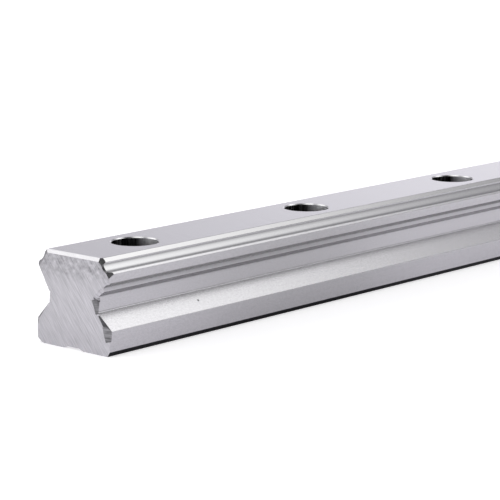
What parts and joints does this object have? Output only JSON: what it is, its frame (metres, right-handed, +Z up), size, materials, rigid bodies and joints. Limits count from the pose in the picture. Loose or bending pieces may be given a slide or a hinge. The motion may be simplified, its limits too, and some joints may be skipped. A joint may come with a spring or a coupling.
{
  "type": "linear guide rail",
  "caption": "Straight profiled steel guide rail with ground ball raceways along both sides and counterbored screw holes down through its top.",
  "frame": {"origin": "middle of the bottom face, halfway along the rail", "axes": "+X along the rail, +Y across it, +Z up from the bottom face to the top land"},
  "size_m": [0.34, 0.023, 0.022],
  "materials": {
    "ground_steel": "fine ground bearing steel, polished raceways, dark drawn skin on the bottom chamfers"
  },
  "bodies": {
    "root": {"guide_rail": "ground_steel"}
  },
  "joints": []
}
